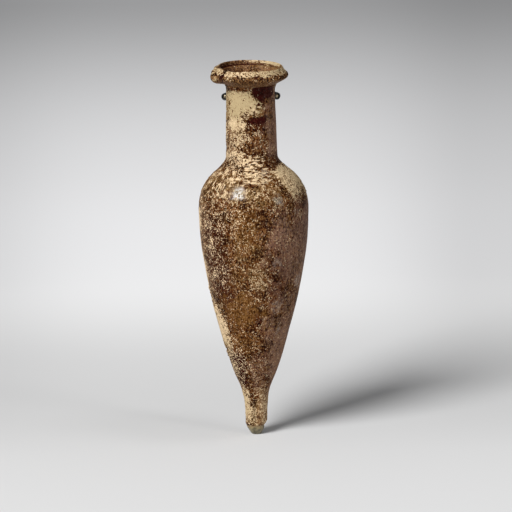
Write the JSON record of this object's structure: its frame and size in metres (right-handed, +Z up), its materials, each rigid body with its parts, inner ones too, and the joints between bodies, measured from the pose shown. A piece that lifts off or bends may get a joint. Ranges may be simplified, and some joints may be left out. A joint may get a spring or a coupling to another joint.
{
  "type": "glass perfume bottle",
  "caption": "Hand-blown pointed glass perfume bottle with a thick rolled rim and burial crust, held at the neck by a sleeved wire fork.",
  "frame": {"origin": "centre of the small flat under the toe knob, on the line from toe to mouth", "axes": "+Z up from the toe to the mouth, +X to the bottle's right seen from the front, -Y to the front; the fork pulls off along +Y"},
  "size_m": [0.0438, 0.0487, 0.1511],
  "materials": {
    "weathered_glass": "amber-brown glass gone dull and opaque from burial",
    "rim_glass": "brown glass under pale lime, flaked at the edge",
    "knob_glass": "olive-grey glass, smooth",
    "lime_crust": "pale lime crust, rough, speckled",
    "brass_wire": "dull brass wire",
    "black_sleeve": "black tubing, satin"
  },
  "bodies": {
    "bottle": {"blown_body": "weathered_glass", "rolled_rim": "rim_glass", "toe_knob": "knob_glass", "neck_crust": "lime_crust", "left_shoulder_crust": "lime_crust", "right_shoulder_crust": "lime_crust", "side_crust": "lime_crust", "toe_crust": "lime_crust"},
    "neck_fork": {"fork_wire": "brass_wire", "fork_stem": "brass_wire", "fork_sleeve_left": "black_sleeve", "fork_sleeve_right": "black_sleeve"}
  },
  "joints": [
    {"name": "fork_release", "type": "slide", "parent": "bottle", "child": "neck_fork", "axis": [0, 1, 0], "range_m": [0, 0.03]}
  ]
}
